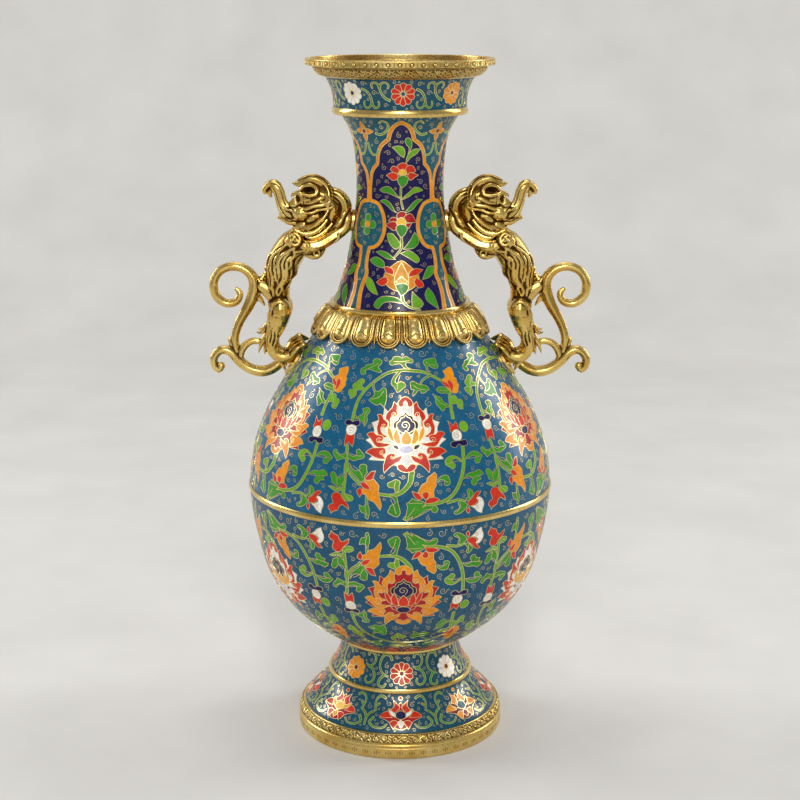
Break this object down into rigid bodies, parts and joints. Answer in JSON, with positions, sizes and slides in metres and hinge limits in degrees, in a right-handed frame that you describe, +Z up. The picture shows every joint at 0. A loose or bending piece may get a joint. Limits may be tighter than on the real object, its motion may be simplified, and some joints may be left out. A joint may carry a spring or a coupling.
{
  "type": "cloisonne vase",
  "caption": "Footed baluster vase in raised copper with inlaid enamel, gilt rings and petal collar, and a pair of cast beast handles between neck and shoulder.",
  "frame": {"origin": "centre of the foot's underside, on the ground", "axes": "+Z up along the vase's axis, handles along X, front at -Y"},
  "size_m": [0.3132, 0.2526, 0.56],
  "materials": {
    "gilt": "polished gilt with brown wear in the recesses",
    "gilt_cast": "cast and chased gilt bronze",
    "teal_enamel": "polished glassy enamel between wires",
    "navy_enamel": "polished glassy enamel between wires",
    "dark_copper": "oxidised copper",
    "steel": "plain machined"
  },
  "bodies": {
    "root": {"mouth_rim": "gilt", "mouth_band": "gilt", "collar_enamel": "teal_enamel", "collar_core": "dark_copper", "collar_bead": "gilt", "neck_enamel": "navy_enamel", "neck_core": "dark_copper", "neck_joint_sleeve": "dark_copper", "neck_base_ring": "gilt", "petal_collar": "gilt", "upper_body_enamel": "teal_enamel", "upper_body_core": "dark_copper", "waist_joint_sleeve": "dark_copper", "belt_ring": "gilt", "lower_body_enamel": "teal_enamel", "lower_body_core": "dark_copper", "body_floor": "dark_copper", "foot_joint_sleeve": "dark_copper", "foot_joint_ring": "gilt", "foot_stem_enamel": "teal_enamel", "foot_core": "dark_copper", "foot_bead": "gilt", "foot_flare_enamel": "teal_enamel", "foot_band": "gilt", "foot_rim": "gilt", "base_plate": "gilt", "left_neck_pad": "gilt_cast", "left_shoulder_pad": "gilt_cast", "left_beast_torso": "gilt_cast", "left_beast_head": "gilt_cast", "left_beast_trunk": "gilt_cast", "left_beast_mane": "gilt_cast", "left_beast_forelegs": "gilt_cast", "left_beast_hind_legs": "gilt_cast", "left_beast_tail": "gilt_cast", "left_tail_scroll": "gilt_cast", "right_neck_pad": "gilt_cast", "right_shoulder_pad": "gilt_cast", "right_beast_torso": "gilt_cast", "right_beast_head": "gilt_cast", "right_beast_trunk": "gilt_cast", "right_beast_mane": "gilt_cast", "right_beast_forelegs": "gilt_cast", "right_beast_hind_legs": "gilt_cast", "right_beast_tail": "gilt_cast", "right_tail_scroll": "gilt_cast", "handle_studs": "gilt", "stud_washers": "steel", "stud_nuts": "steel"}
  },
  "joints": []
}
